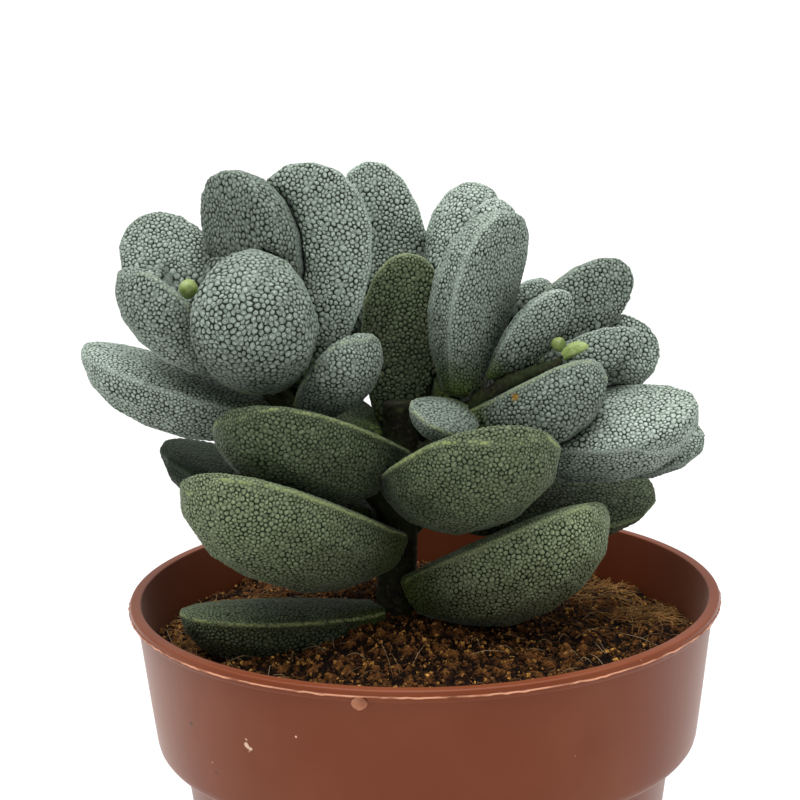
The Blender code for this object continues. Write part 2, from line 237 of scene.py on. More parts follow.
for k in range(DRAIN_HOLES):
    angle = math.tau * (k + 0.5) / DRAIN_HOLES
    bpy.ops.object.select_all(action="DESELECT")
    bpy.ops.mesh.primitive_cylinder_add(
        vertices=DRAIN_SIDES,
        radius=DRAIN_RADIUS,
        depth=4 * FLOOR,
        location=(DRAIN_CIRCLE * math.cos(angle), DRAIN_CIRCLE * math.sin(angle), 0),
    )
    drill = bpy.context.object
    bpy.context.view_layer.objects.active = pot
    drilled = pot.modifiers.new("drain_hole", "BOOLEAN")
    drilled.object = drill
    bpy.ops.object.modifier_apply(modifier=drilled.name)
    bpy.data.objects.remove(drill)
pot.select_set(True)
bpy.ops.object.shade_smooth_by_angle(angle=POT_SMOOTH_UNDER)


def new_look(name, roughness, specular):
    """A new material, its node tree and its shader."""
    made = bpy.data.materials.new(name)
    made.use_nodes = True
    shader = made.node_tree.nodes["Principled BSDF"]
    shader.inputs["Roughness"].default_value = roughness
    shader.inputs["Specular IOR Level"].default_value = specular
    return made, made.node_tree, shader


def add(tree, kind, settings=None, **feeds):
    """A new shader node. Each feed is a value or another node's output, for the input whose
    name it has, with _ for a space, or whose number it has after a _."""
    made = tree.nodes.new("ShaderNode" + kind)
    for key, value in (settings or {}).items():
        setattr(made, key, value)
    for key, value in feeds.items():
        socket = made.inputs[int(key[1:]) if key[1:].isdigit() else key.replace("_", " ")]
        if isinstance(value, bpy.types.NodeSocket):
            tree.links.new(value, socket)
        else:
            socket.default_value = value
    return made


def blend(tree, share, first, second):
    """The colour between two others, which a share from 0 to 1 sets."""
    feeds = {"Factor": share}
    for key, colour in (("A", first), ("B", second)):
        feeds[key] = colour if isinstance(colour, bpy.types.NodeSocket) else (*colour, 1)
    return add(tree, "Mix", {"data_type": "RGBA"}, **feeds).outputs["Result"]


def part_way(tree, value, low, high):
    """How far a value is from low to high, eased, from 0 to 1."""
    settings = {"interpolation_type": "SMOOTHSTEP"}
    return add(tree, "MapRange", settings, Value=value, From_Min=low, From_Max=high).outputs["Result"]


def maths(tree, operation, first, second):
    """What a sum makes of two values, each a number or a node's output."""
    return add(tree, "Math", {"operation": operation}, _0=first, _1=second).outputs["Value"]


def times(tree, first, second):
    """One value times another."""
    return maths(tree, "MULTIPLY", first, second)


def point_value(tree, name):
    """The value that a mesh's points carry under a name."""
    return add(tree, "Attribute", {"attribute_name": name}).outputs["Fac"]


def patch(tree, centre, size, core, stretch):
    """How far a small round patch covers each place, from 0 at its size to 1 within its core,
    a share of that size. Stretch, which varies from place to place, frays its edge."""
    place = add(tree, "TexCoord").outputs["Object"]
    away = add(tree, "VectorMath", {"operation": "DISTANCE"}, _0=place, _1=centre).outputs["Value"]
    return part_way(tree, times(tree, away, stretch), size, size * core)


def unevenness():
    """The shader node group that gives a broad and a fine unevenness of a surface, 0 to 1,
    from two scales in features a metre."""
    group = bpy.data.node_groups.new("unevenness", "ShaderNodeTree")
    for name in ("Broad Scale", "Fine Scale"):
        group.interface.new_socket(name, in_out="INPUT", socket_type="NodeSocketFloat")
    for name in ("Broad", "Fine"):
        group.interface.new_socket(name, in_out="OUTPUT", socket_type="NodeSocketFloat")
    given = group.nodes.new("NodeGroupInput")
    put_out = group.nodes.new("NodeGroupOutput")
    place = add(group, "TexCoord").outputs["Object"]
    for name, detail in (("Broad", 3), ("Fine", 2)):
        cloud = add(group, "TexNoise", Vector=place, Scale=given.outputs[name + " Scale"], Detail=detail)
        group.links.new(cloud.outputs["Fac"], put_out.inputs[name])
    return group


unevenness_group = unevenness()


def uneven(tree, broad, fine):
    """The broad and the fine unevenness in a material, at two scales."""
    made = add(tree, "Group", {"node_tree": unevenness_group}, Broad_Scale=broad, Fine_Scale=fine)
    return made.outputs["Broad"], made.outputs["Fine"]


def relief(tree, shader, height, strength, distance):
    """Makes a height the fine relief of a surface."""
    bump = add(tree, "Bump", Height=height, Strength=strength, Distance=distance)
    tree.links.new(bump.outputs["Normal"], shader.inputs["Normal"])


def sheen(shader, weight, roughness, tint):
    """Gives a surface a soft sheen, as dust or fine velvet does."""
    shader.inputs["Sheen Weight"].default_value = weight
    shader.inputs["Sheen Roughness"].default_value = roughness
    shader.inputs["Sheen Tint"].default_value = (*tint, 1)


def surface_of(meshes):
    """The surface of some meshes together, to cast rays at and to measure from."""
    points = []
    faces = []
    for mesh in meshes:
        first = len(points)
        points += [v.co.copy() for v in mesh.vertices]
        faces += [[first + k for k in face.vertices] for face in mesh.polygons]
    return BVHTree.FromPolygons(points, faces)


# The pot's plastic: dull terracotta, faded in patches, with soil in its grain and some dust
POT_COLOUR = (0.176, 0.038, 0.0105)
POT_FADED = (0.208, 0.055, 0.020)
POT_FLASH = (0.72, 0.34, 0.2)
POT_PATCHES = 45
POT_GRAIN = 900
POT_SHEEN = (1.0, 0.8, 0.7)
DIRT = (0.05, 0.02, 0.012)
DIRT_SPECKS = 190
DUST = (0.75, 0.5, 0.36)
DUST_MOTES = 420
FLASH_WEAR = 260
SCUFF_PIXEL = (246, 745)
SCUFF_SIZE = 0.55 * MM

pot_look, tree, shader = new_look("terracotta_plastic", roughness=0.36, specular=0.2)
broad, fine = uneven(tree, POT_PATCHES, POT_GRAIN)
body = blend(tree, part_way(tree, broad, 0.35, 0.7), POT_COLOUR, POT_FADED)
place = add(tree, "TexCoord").outputs["Object"]
specks = add(tree, "TexVoronoi", Vector=place, Scale=DIRT_SPECKS)
patchy = part_way(tree, broad, 0.5, 0.6)
dirty = times(tree, part_way(tree, specks.outputs["Distance"], 0.075, 0.045), patchy)
body = blend(tree, dirty, body, DIRT)
motes = add(tree, "TexVoronoi", Vector=place, Scale=DUST_MOTES)
chance = add(tree, "SeparateColor", Color=motes.outputs["Color"]).outputs["Red"]
rare = part_way(tree, chance, 0.86, 0.9)
dusty = times(tree, part_way(tree, motes.outputs["Distance"], 0.09, 0.04), rare)
body = blend(tree, dusty, body, DUST)
pot_surface = surface_of([pot.data])
scuff = pot_surface.ray_cast(eye, sight(SCUFF_PIXEL))[0]
stretch = maths(tree, "SUBTRACT", times(tree, fine, 3), 0.5)
body = blend(tree, patch(tree, scuff, SCUFF_SIZE, 0.6, stretch), body, DUST)
wear = add(tree, "TexNoise", Vector=place, Scale=FLASH_WEAR, Detail=4).outputs["Fac"]
worn = times(tree, part_way(tree, point_value(tree, "flash"), 0.35, 0.9), part_way(tree, wear, 0.3, 0.58))
tree.links.new(blend(tree, worn, body, POT_FLASH), shader.inputs["Base Color"])
relief(tree, shader, fine, strength=0.12, distance=0.1 * MM)
sheen(shader, weight=0.16, roughness=0.35, tint=POT_SHEEN)
pot.data.materials.append(pot_look)
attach(pot, "root")
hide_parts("pot")

# The nub. A drip of the same plastic that leaked out of the mould under the lip, flat
# against the collar, with a thicker edge. It is a disc drawn to a shield's outline, with
# its face let in.
NUB_PIXEL = (361, 703)
NUB_HALF_WIDTH = 1.02 * MM
NUB_DROP = 1.75 * MM
NUB_TAPER = 0.5
NUB_THICK = 0.35 * MM
NUB_EDGE = 0.22 * MM
NUB_LET_IN = NUB_EDGE * 0.6
NUB_BEVEL = 0.06 * MM
NUB_SIDES = 24
NUB_RADIUS = WALL_TOP_RADIUS + 0.75 * MM
NUB_HEIGHT = LIP_BOTTOM + 0.35 * MM
NUB_SMOOTH_UNDER = math.radians(50)
NUB_WORN = 0.62

nub_spot = pot_surface.ray_cast(eye, sight(NUB_PIXEL))[0]
outward = Vector((nub_spot.x, nub_spot.y, 0)).normalized()
bpy.ops.object.select_all(action="DESELECT")
bpy.ops.mesh.primitive_circle_add(vertices=NUB_SIDES, radius=1, fill_type="NGON")
nub = bpy.context.object
nub.name = nub.data.name = "pot_nub"
for v in nub.data.vertices:
    lower = max(0, -v.co.y)
    v.co.x *= NUB_HALF_WIDTH * (1 - NUB_TAPER * lower**3)
    v.co.y = v.co.y * NUB_DROP / 2 - NUB_DROP / 4
bpy.ops.object.mode_set(mode="EDIT")
bpy.ops.mesh.select_all(action="SELECT")
bpy.ops.mesh.extrude_region_move(TRANSFORM_OT_translate={"value": (0, 0, NUB_THICK)})
bpy.ops.mesh.inset(thickness=NUB_EDGE)
bpy.ops.transform.translate(value=(0, 0, -NUB_LET_IN))
bpy.ops.mesh.select_all(action="SELECT")
bpy.ops.mesh.normals_make_consistent(inside=False)
bpy.ops.object.mode_set(mode="OBJECT")
softened = nub.modifiers.new("softened", "BEVEL")
softened.width = NUB_BEVEL
softened.segments = 2
bpy.ops.object.modifier_apply(modifier=softened.name)
nub.matrix_world = placement(outward * NUB_RADIUS + UP * NUB_HEIGHT, UP.cross(outward), UP, outward)
bpy.ops.object.transform_apply(location=True, rotation=True, scale=True)
bpy.ops.object.shade_smooth_by_angle(angle=NUB_SMOOTH_UNDER)
attribute(nub.data, "flash", np.full(len(nub.data.vertices), NUB_WORN))
nub.data.materials.append(pot_look)
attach(nub, "root")

# The soil. Coir and peat, watered in and settled in a low mound, all clumps and pits. It
# fills the pot: its top is drawn in rings from the middle out to the wall, then down the
# wall to the floor, and the clumps are raised by a formula.
SOIL_SIDES = 280
SOIL_RINGS = 76
SOIL_TOP_RADIUS = 39.3 * MM
SOIL_EDGE_DROP = 7.8 * MM
SOIL_MOUND_RISE = 4.4 * MM
MOUND_CENTRE = Vector((-4 * MM, 0))
MOUND_REACH = 40.6 * MM
SOIL_RELIEF = 0.7 * MM
SOIL_LUMPS = 160
FINER_LUMPS = 2.3
FINER_SHARE = 0.6
CLUMPS = ((2.3 * MM, 0.9 * MM), (0.95 * MM, 0.6 * MM))
CLUMP_BEND = 0.35
CLUMP_BEND_WAVES = 1.7
CLUMP_STEEPNESS = 1.6
CLUMP_ROUNDING = 0.7
PIT_DEPTH = 0.55
CREST_RANGE = 1.55 * MM
WALL_GAP = 0.15 * MM

# The clumps' bend is drawn from this seed. Without one, Blender takes the time for a seed.
CLUMP_SEED = 3
noise.seed_set(CLUMP_SEED)


def soil_height(x, y):
    """The height of the soil's mound over a place, without its clumps."""
    place = Vector((x, y, 0))
    off = (place.xy - MOUND_CENTRE).length / MOUND_REACH
    mound = SOIL_MOUND_RISE * (0.5 + 0.5 * math.cos(math.pi * min(1, off)))
    lumps = noise.noise(place * SOIL_LUMPS) + FINER_SHARE * noise.noise(place * SOIL_LUMPS * FINER_LUMPS)
    return POT_TOP - SOIL_EDGE_DROP + mound + SOIL_RELIEF * lumps


def clump_height(x, y):
    """How far the clumps of each size and rise stand over the mound at a place. It is less
    than 0 in the pits between them."""
    height = 0
    for size, rise in CLUMPS:
        place = Vector((x, y, size)) / size
        place += CLUMP_BEND * noise.noise_vector(place * CLUMP_BEND_WAVES)
        near = noise.voronoi(place)[0]
        from_edge = min(1, (near[1] - near[0]) * CLUMP_STEEPNESS)
        height += rise * (from_edge**CLUMP_ROUNDING - PIT_DEPTH)
    return height


soil_line = [(SOIL_TOP_RADIUS * (k + 0.3) / SOIL_RINGS, POT_TOP) for k in range(SOIL_RINGS)]
soil_line += [
    (SOIL_TOP_RADIUS, POT_TOP),
    (SHOULDER_RADIUS - WALL - WALL_GAP, SHOULDER_TOP),
    (COLLAR_BOTTOM_RADIUS - WALL - WALL_GAP, COLLAR_BOTTOM + WALL),
    (BODY_TOP_RADIUS - WALL - WALL_GAP, BODY_TOP),
    (BASE_RADIUS - WALL - WALL_GAP, FLOOR + WALL_GAP),
]
soil = turned("soil_bed", soil_line, SOIL_SIDES)
crest = np.zeros(len(soil.data.vertices))
for k, v in enumerate(soil.data.vertices):
    if v.co.z > POT_TOP - 0.01 * MM:
        crest[k] = clump_height(v.co.x, v.co.y)
        v.co.z = soil_height(v.co.x, v.co.y) + crest[k]
soil.data.shade_smooth()
attribute(soil.data, "crest", np.clip(crest / CREST_RANGE + 0.5, 0, 1))

# The soil's colours, by how high the bed stands: near black in the pits as painted shade, brown on the
# clumps and ochre on their crests
COIR_DARK = (0.005, 0.002, 0.001)
COIR_BROWN = (0.16, 0.062, 0.016)
COIR_OCHRE = (0.72, 0.37, 0.085)
COIR_PATCHES = 260
COIR_GRAIN = 2600

soil_look, tree, shader = new_look("coir", roughness=0.95, specular=0.15)
broad, fine = uneven(tree, COIR_PATCHES, COIR_GRAIN)
speckled = times(tree, maths(tree, "SUBTRACT", fine, 0.5), 0.9)
high = maths(tree, "ADD", point_value(tree, "crest"), speckled)
# Painted shade: the bed darkens to near black down into its pits, below the brown of the clumps
earth = blend(tree, part_way(tree, high, 0.25, 0.7), COIR_DARK, COIR_BROWN)
earth = blend(tree, part_way(tree, high, 0.65, 1.2), earth, COIR_OCHRE)
earth = blend(tree, part_way(tree, broad, 0.25, 0.5), COIR_DARK, earth)
tree.links.new(earth, shader.inputs["Base Color"])
relief(tree, shader, fine, strength=0.8, distance=0.25 * MM)
soil.data.materials.append(soil_look)
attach(soil, "root")
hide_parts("soil")

# Crumbs. The loose coir dust and peat grains that lie on the bed. Four grains are modelled
# from a cube, and thousands of copies of them, sized, turned and flattened at random,
# lie on the clumps as one mesh.
CRUMBS = 8200
CRUMB_KINDS = 4
CRUMB_CORNERS = 8
CRUMB_CUBE = 1.25
CORNER_REACH = (0.6, 1.35)
CRUMB_LEAST = 0.11 * MM
CRUMB_MOST = 0.46 * MM
CRUMB_FAVOUR_SMALL = 2.6
CRUMB_FLATNESS = (0.6, 1.15)
CRUMB_LIFT = 0.15
CRUMB_CLEARANCE = 1.2


def crumb_shape(rng):
    """The points and faces of one grain, a cube with each corner pushed in or out."""
    bpy.ops.object.select_all(action="DESELECT")
    bpy.ops.mesh.primitive_cube_add(size=CRUMB_CUBE)
    grain = bpy.context.object
    corners = np.array([v.co for v in grain.data.vertices])
    faces = [tuple(face.vertices) for face in grain.data.polygons]
    bpy.data.objects.remove(grain)
    return corners * rng.uniform(*CORNER_REACH, (CRUMB_CORNERS, 1)), faces


def turn_by(rng):
    """A rotation by chance, as a 3 x 3 array."""
    spin = Vector(rng.normal(size=3)).normalized()
    return np.array(Matrix.Rotation(rng.uniform(0, math.tau), 3, spin))


def placed(name, data):
    """A new object in the scene, made of a mesh or a curve."""
    made = bpy.data.objects.new(name, data)
    bpy.context.scene.collection.objects.link(made)
    return made


leaf_nodes = [name for name in sorted(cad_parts) if name.startswith("leaf_")]
leaf_surface = surface_of([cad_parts[name].data for name in leaf_nodes])
rng = np.random.default_rng(7)
crumb_kinds = [crumb_shape(rng) for _ in range(CRUMB_KINDS)]
crumb_points, crumb_faces, crumb_tones = [], [], []
while len(crumb_points) < CRUMBS:
    way, out = rng.uniform(0, math.tau), SOIL_TOP_RADIUS * math.sqrt(rng.uniform(0, 1))
    size = CRUMB_LEAST + (CRUMB_MOST - CRUMB_LEAST) * rng.uniform(0, 1) ** CRUMB_FAVOUR_SMALL
    x, y = (out - size) * math.cos(way), (out - size) * math.sin(way)
    centre = Vector((x, y, soil_height(x, y) + clump_height(x, y) + size * CRUMB_LIFT))
    if leaf_surface.find_nearest(centre)[3] < size * CRUMB_CLEARANCE:
        continue
    points, faces = crumb_kinds[rng.integers(CRUMB_KINDS)]
    points = points * size * rng.uniform(*CRUMB_FLATNESS, 3) @ turn_by(rng)
    first = CRUMB_CORNERS * len(crumb_points)
    crumb_faces += [tuple(first + k for k in face) for face in faces]
    crumb_points.append(points + np.array(centre))
    crumb_tones += [rng.uniform(0, 1)] * CRUMB_CORNERS
crumb_mesh = bpy.data.meshes.new("soil_crumbs")
crumb_mesh.from_pydata(np.concatenate(crumb_points), [], crumb_faces)
crumbs = placed("soil_crumbs", crumb_mesh)
attribute(crumb_mesh, "tone", crumb_tones)

crumb_look, tree, shader = new_look("coir_crumb", roughness=0.9, specular=0.2)
_, fine = uneven(tree, COIR_PATCHES, COIR_GRAIN)
tone = point_value(tree, "tone")
earth = blend(tree, part_way(tree, tone, 0.0, 0.45), COIR_DARK, COIR_BROWN)
earth = blend(tree, part_way(tree, tone, 0.4, 1.0), earth, COIR_OCHRE)
earth = blend(tree, part_way(tree, fine, 0.45, 0.62), earth, COIR_BROWN)
tree.links.new(earth, shader.inputs["Base Color"])
crumb_mesh.materials.append(crumb_look)
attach(crumbs, "root")

# Fibres. Coir's own coarse hairs, which work up to the top of the soil and dry pale. Each is
# a thin bevelled curve. They are strewn all over, matted at the wall behind the lowest leaf
# and at the back on the right, and the long ones lie where the photograph shows them.
FIBRE_RADIUS = 0.045 * MM
FIBRE_TAPER = 0.45
FIBRE_POINTS = 7
FIBRE_CLEARANCE = 0.25 * MM
FIBRE_WALL_GAP = 0.3 * MM
FIBRE_BEND = 0.12
FIBRE_WANDER = 0.16
FIBRES_STREWN = 150
FIBRES_MATTED = 520
MATS = (
    (Vector((-31 * MM, 10 * MM)), 8 * MM),
    (Vector((-32 * MM, -2 * MM)), 5 * MM),
    (Vector((25 * MM, 20 * MM)), 11 * MM),
    (Vector((32 * MM, 8 * MM)), 8 * MM),
)
STRAND_PIXELS = (
    ((503, 659), (520, 648), (539, 633), (552, 622), (566, 614), (579, 616)),
    ((575, 640), (588, 634), (602, 631), (614, 630)),
    ((600, 636), (620, 637), (641, 642), (660, 648)),
    ((413, 666), (418, 658), (424, 650), (429, 646)),
    ((488, 678), (492, 683), (496, 687)),
    ((206, 642), (215, 652), (224, 661), (233, 668)),
    ((382, 646), (385, 655), (389, 666), (393, 677)),
    ((390, 653), (394, 662), (398, 669), (400, 675)),
    ((334, 636), (333, 642), (334, 649)),
    ((268, 679), (270, 671), (273, 666)),
    ((167, 632), (170, 642), (175, 651)),
    ((292, 664), (293, 657), (294, 652)),
    ((289, 665), (292, 659), (296, 655)),
    ((590, 655), (597, 662), (605, 668)),
    ((513, 680), (520, 684), (527, 687)),
)
STRAND_CLEARANCE = 0.2 * MM
STRAND_LIFT = 0.5 * MM
STRAND_STEP = 6 * MM
STRAND_LOWEST = POT_TOP - SOIL_EDGE_DROP - 2 * MM
DRY_BROWN = (0.20, 0.11, 0.04)
DRY_PALE = (0.55, 0.42, 0.24)
MAT_BROWN = (0.17, 0.08, 0.022)
MAT_GOLD = (0.60, 0.33, 0.11)


def strand(curve, points, tone):
    """Adds one tapering hair to a curve object's data. Its tone, 0 to 1, sets its thickness."""
    spline = curve.splines.new("POLY")
    spline.points.add(len(points) - 1)
    for k, (point, place) in enumerate(zip(spline.points, points)):
        along = k / (len(points) - 1)
        point.co = (*place, 1)
        point.radius = (1 - FIBRE_TAPER + FIBRE_TAPER * math.sin(math.pi * along)) * (0.7 + 0.6 * tone)


def fibre_walk(start, heading, length, rng):
    """A hair that wanders over the soil from a start, a little off it in the middle."""
    points = []
    x, y = start
    bend, lift = rng.normal(0, FIBRE_BEND), rng.uniform(0.1, 0.8) * MM
    for k in range(FIBRE_POINTS):
        raised = FIBRE_CLEARANCE + lift * math.sin(math.pi * k / (FIBRE_POINTS - 1))
        if math.hypot(x, y) < SOIL_TOP_RADIUS - FIBRE_WALL_GAP:
            points.append(Vector((x, y, soil_height(x, y) + raised)))
        heading += bend + rng.normal(0, FIBRE_WANDER)
        x += math.cos(heading) * length / FIBRE_POINTS
        y += math.sin(heading) * length / FIBRE_POINTS
    return points


def fibre_piece(name, curve, look):
    """A mesh piece made from a curve full of hairs."""
    curve.dimensions = "3D"
    curve.bevel_depth = FIBRE_RADIUS
    curve.bevel_resolution = 0
    made = placed(name, curve)
    bpy.ops.object.select_all(action="DESELECT")
    bpy.context.view_layer.objects.active = made
    made.select_set(True)
    bpy.ops.object.convert(target="MESH")
    piece = bpy.context.object
    piece.data.name = name
    piece.data.materials.clear()
    piece.data.materials.append(look)
    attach(piece, "root")
    return piece


def hair_look_of(name, roughness, specular, scales, share, brown, pale):
    """A material for dry hairs, between two colours. Its unevenness has two scales, and the
    share gives where that turns from brown to pale."""
    made, tree, shader = new_look(name, roughness, specular)
    broad, _ = uneven(tree, *scales)
    tree.links.new(blend(tree, part_way(tree, broad, *share), brown, pale), shader.inputs["Base Color"])
    return made


soil_surface = surface_of([soil.data])
rng = np.random.default_rng(11)
strands = bpy.data.curves.new("soil_strands", "CURVE")
for pixels in STRAND_PIXELS:
    route = []
    for k, pixel in enumerate(pixels):
        place = soil_surface.ray_cast(eye, sight(pixel))[0]
        raised = STRAND_CLEARANCE + STRAND_LIFT * math.sin(math.pi * k / (len(pixels) - 1))
        if place.z > STRAND_LOWEST:
            route.append(place + Vector((0, 0, raised)))
    steps = [(b - a).length for a, b in zip(route, route[1:])]
    if steps and max(steps) < STRAND_STEP:
        strand(strands, route, rng.uniform(0.6, 1))
for _ in range(FIBRES_STREWN):
    way, out = rng.uniform(0, math.tau), SOIL_TOP_RADIUS * math.sqrt(rng.uniform(0.1, 1))
    start = (out * math.cos(way), out * math.sin(way))
    walk = fibre_walk(start, rng.uniform(0, math.tau), rng.uniform(1.5, 6) * MM, rng)
    if len(walk) > 2:
        strand(strands, walk, rng.uniform(0, 0.5))
fibre_look = hair_look_of(
    "dry_fibre",
    roughness=0.7,
    specular=0.3,
    scales=(120, 1500),
    share=(0.35, 0.65),
    brown=DRY_BROWN,
    pale=DRY_PALE,
)
fibre_piece("soil_strands", strands, fibre_look)

mats = bpy.data.curves.new("soil_mat", "CURVE")
for _ in range(FIBRES_MATTED):
    centre, size = MATS[rng.integers(len(MATS))]
    start = centre + Vector(rng.normal(0, 0.45, 2)) * size
    walk = fibre_walk(start, rng.normal(0.3, 0.9), rng.uniform(3, 9) * MM, rng)
    if len(walk) > 2:
        strand(mats, walk, rng.uniform(0, 0.6))
mat_look = hair_look_of(
    "matted_fibre",
    roughness=0.8,
    specular=0.2,
    scales=(200, 1500),
    share=(0.3, 0.65),
    brown=MAT_BROWN,
    pale=MAT_GOLD,
)
fibre_piece("soil_mat", mats, mat_look)

# The stem. A short fleshy trunk with three branches, olive under a brown skin, ringed with the scars of
# leaves that have dropped. Its colours are painted near black, with the shade that falls on it between
# the leaves. The solid's own form is meshed evenly and smoothed, and the rings and the bark's unevenness
# are raised on it.
STEM_STEP = 0.48 * MM
STEM_SMOOTHING = 40
SMOOTH_OUT = 0.5
SMOOTH_BACK = -0.505
MERGE_WITHIN = 0.002 * MM
SCAR_STEP = 2.3 * MM
SCAR_LEAN = 0.3
SCAR_SHARPNESS = 6
SCAR_RISE = 0.16 * MM
BARK_RISE = 0.22 * MM
BARK_LUMPS = 700
# The bark's olive, brown and pale colours, all painted near black with the shade the stem stands in
SHADED_BARK_OLIVE = (0.020, 0.030, 0.008)
SHADED_BARK_BROWN = (0.012, 0.010, 0.005)
SHADED_BARK_PALE = (0.045, 0.045, 0.018)


def mesh_arrays(mesh):
    """A mesh's points, point normals, triangles and edges, as arrays."""
    places = np.empty(len(mesh.vertices) * 3)
    mesh.vertices.foreach_get("co", places)
    normals = np.empty(len(mesh.vertices) * 3)
    mesh.vertices.foreach_get("normal", normals)
    mesh.calc_loop_triangles()
    corners = np.empty(len(mesh.loop_triangles) * 3, int)
    mesh.loop_triangles.foreach_get("vertices", corners)
    edges = np.empty(len(mesh.edges) * 2, int)
    mesh.edges.foreach_get("vertices", edges)
    return places.reshape(-1, 3), normals.reshape(-1, 3), corners.reshape(-1, 3), edges.reshape(-1, 2)


def neighbour_mean(count, edges):
    """A function that gives, for values at a mesh's points, their mean over each point's
    neighbours."""
    here = np.concatenate([edges[:, 0], edges[:, 1]])
    there = np.concatenate([edges[:, 1], edges[:, 0]])
    share = 1 / np.bincount(here, minlength=count)

    def mean(values):
        sums = [np.bincount(here, values[there, k], count) for k in range(values.shape[1])]
        return np.stack(sums, 1) * share[:, None]

    return mean


def islands(count, edges):
    """For each of a mesh's points, the lowest point that these edges join it to."""
    island = np.arange(count)
    while True:
        lowest = np.minimum(island[edges[:, 0]], island[edges[:, 1]])
        joined = island.copy()
        np.minimum.at(joined, edges[:, 0], lowest)
        np.minimum.at(joined, edges[:, 1], lowest)
        joined = joined[joined]
        if (joined == island).all():
            return island
        island = joined


def smooth_skin(node, step, rounds):
    """A copy of a solid as one even fine mesh, with its facets smoothed away and its size
    kept, as the arrays that mesh_arrays gives."""
    bpy.ops.object.select_all(action="DESELECT")
    copy = placed(node.name + "_skin", node.data.copy())
    bpy.context.view_layer.objects.active = copy
    copy.select_set(True)
    merged = bmesh.new()
    merged.from_mesh(copy.data)
    bmesh.ops.remove_doubles(merged, verts=merged.verts, dist=MERGE_WITHIN)
    merged.to_mesh(copy.data)
    merged.free()
    remesh = copy.modifiers.new("even", "REMESH")
    remesh.mode = "VOXEL"
    remesh.voxel_size = step
    bpy.ops.object.modifier_apply(modifier=remesh.name)
    places, _, _, edges = mesh_arrays(copy.data)
    island = islands(len(places), edges)
    scraps = np.flatnonzero(island != np.bincount(island).argmax())
    if len(scraps):
        whole = bmesh.new()
        whole.from_mesh(copy.data)
        whole.verts.ensure_lookup_table()
        bmesh.ops.delete(whole, geom=[whole.verts[k] for k in scraps], context="VERTS")
        whole.to_mesh(copy.data)
        whole.free()
        places, _, _, edges = mesh_arrays(copy.data)
    mean = neighbour_mean(len(places), edges)
    for _ in range(rounds):
        for share in (SMOOTH_OUT, SMOOTH_BACK):
            places = places + share * (mean(places) - places)
    copy.data.vertices.foreach_set("co", places.ravel())
    copy.data.update()
    arrays = mesh_arrays(copy.data)
    bpy.data.objects.remove(copy)
    return arrays


def skin_piece(name, points, faces, look, node):
    """A smooth-shaded piece made from points and faces, which stands for a CAD node."""
    mesh = bpy.data.meshes.new(name)
    mesh.from_pydata(points, [], faces)
    mesh.shade_smooth()
    mesh.materials.append(look)
    piece = placed(name, mesh)
    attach(piece, "root")
    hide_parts(node)
    return piece


stem_look, tree, shader = new_look("stem_bark", roughness=0.75, specular=0.2)
broad, fine = uneven(tree, 300, 1600)
bark = blend(tree, part_way(tree, broad, 0.35, 0.65), SHADED_BARK_OLIVE, SHADED_BARK_BROWN)
bark = blend(tree, part_way(tree, fine, 0.5, 0.75), bark, SHADED_BARK_PALE)
tree.links.new(bark, shader.inputs["Base Color"])
relief(tree, shader, fine, strength=0.5, distance=0.15 * MM)
places, normals, corners, _ = smooth_skin(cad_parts["stem"], STEM_STEP, STEM_SMOOTHING)
rise = np.empty(len(places))
for k, place in enumerate(places):
    ring = math.cos(math.tau * (place[2] + SCAR_LEAN * abs(place[0])) / SCAR_STEP) ** SCAR_SHARPNESS
    rise[k] = SCAR_RISE * ring + BARK_RISE * noise.noise(Vector(place) * BARK_LUMPS) - SCAR_RISE
skin_piece("stem_skin", places + normals * rise[:, None], corners, stem_look, "stem")

# The leaves. Each is a thick fleshy blade whose whole skin is set with pale waxy grains,
# close together, with dark green furrows between them. The solid's own form is smoothed,
# then the grains are spread over it, each a small raised plateau in a ring of furrows.
SKIN_STEP = 0.24 * MM
SKIN_SMOOTHING = 140

# How far apart the grains stand: where the camera sees them, at the back, and out of sight
GRAIN = 0.5 * MM
BROAD_GRAIN = 0.62 * MM
BROAD_GRAINED = ("leaf_left_round_front", "leaf_left_top_front")
BACK_GRAIN = 0.86 * MM
HIDDEN_GRAIN = 1.7 * MM
GRAIN_UNLIKE = 0.25
GRAIN_ROUNDS = 12
MARGIN_GRAIN = 0.72
MARGIN_GRAIN_ENDS = (0.3 * MM, 2 * MM)
SHOWN_SHARE = 0.6

# How open to the sky a spot is, and how far the camera sees it, by rays from samples of it
OPEN_SAMPLE = 2.0 * MM
OPEN_RAYS = 20
OPEN_REACH = 60 * MM
OPEN_SHARE = 0.12
RAY_START = 0.4 * MM
TURNED_AWAY = -0.25
SAMPLES_MIXED = 3

# The shape of a grain and of the leaf's margin
GRAIN_TOP = 0.66
TOP_UNLIKE = 0.1
GRAIN_HEIGHT = 0.19 * MM
GRAIN_UNEVEN = 0.2
LOW_GRAIN = 0.25
LOW_GRAIN_MARGIN = 0.2 * MM
LOW_GRAIN_BASE = (-0.1, 0.35)
TOP_ROUNDING = 0.14
RIM_SHADE = 0.15
FURROW_LEAST = 0.3
MARGIN_RIDGE = 0.12 * MM
RIDGE_WIDTH = 0.5 * MM
RIDGE_START = (0.1, 0.4)
MARGIN_BAND = 1.5 * MM
MARGIN_REACH = 3 * MM
MARGIN_STATIONS = 26
MARGIN_STEPS = 8
BASE_SHARE = 0.01
AXIS_SAMPLES = 2000


def finder_of(points):
    """What finds the nearest of some points to a place, or those within a reach of it."""
    finder = KDTree(len(points))
    for k, point in enumerate(points):
        finder.insert(point, k)
    finder.balance()
    return finder


def spread(points, reach, rng, finder):
    """Points picked at random until none is left outside the others' reach."""
    free = np.ones(len(points), bool)
    picked = []
    for k in rng.permutation(len(points)):
        if free[k]:
            picked.append(k)
            near = [found[1] for found in finder.find_range(points[k], reach[k])]
            free[near] = False
    return np.array(picked)


